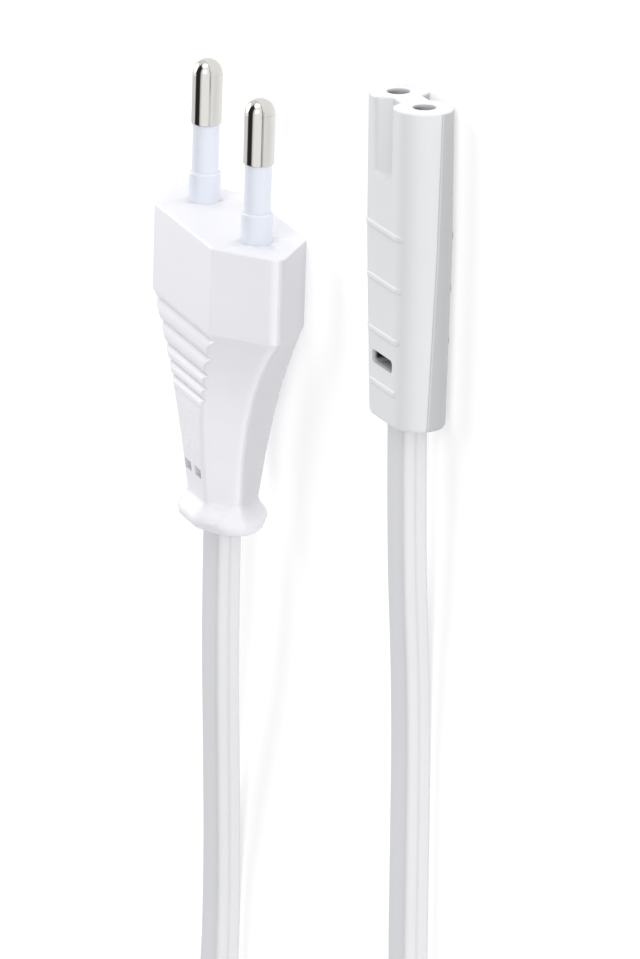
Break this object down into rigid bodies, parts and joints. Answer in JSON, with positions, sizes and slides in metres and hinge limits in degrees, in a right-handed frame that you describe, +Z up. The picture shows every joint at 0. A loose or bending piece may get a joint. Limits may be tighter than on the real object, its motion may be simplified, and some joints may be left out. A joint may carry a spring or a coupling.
{
  "type": "power cord",
  "caption": "White mains lead: flat plug with round pins, flat cord wound into a tied coil, and a figure-eight appliance connector.",
  "frame": {"origin": "on the surface that the lead lies on, under the middle of the box round plug and connector", "axes": "+Y along the plug's pins towards their tips, +Z up from the surface, +X from plug to connector"},
  "size_m": [0.0886, 0.2286, 0.0133],
  "materials": {
    "plug_plastic": "satin white moulded PVC",
    "connector_plastic": "satin white moulded PVC",
    "sleeve_plastic": "smooth cool white hard plastic",
    "nickel": "polished nickel plate on brass",
    "brass": "drawn brass",
    "carrier_plastic": "plain hard plastic",
    "copper": "bare stranded copper",
    "core_brown": "brown core insulation",
    "core_blue": "blue core insulation",
    "cord_sheath": "smooth white PVC sheath",
    "tie_band": "white woven fastener band"
  },
  "bodies": {
    "root": {"plug_body": "plug_plastic", "connector_body": "connector_plastic", "pin_bridge": "sleeve_plastic", "pin_left": "nickel", "pin_right": "nickel", "contact_left": "brass", "contact_right": "brass", "contact_carrier": "carrier_plastic", "plug_wire_left": "copper", "plug_wire_right": "copper", "connector_wire_left": "copper", "connector_wire_right": "copper", "plug_core_left": "core_brown", "connector_core_left": "core_brown", "plug_core_right": "core_blue", "connector_core_right": "core_blue", "cord_at_plug": "cord_sheath", "cord_coil": "cord_sheath", "cord_at_connector": "cord_sheath", "coil_tie": "tie_band"}
  },
  "joints": []
}
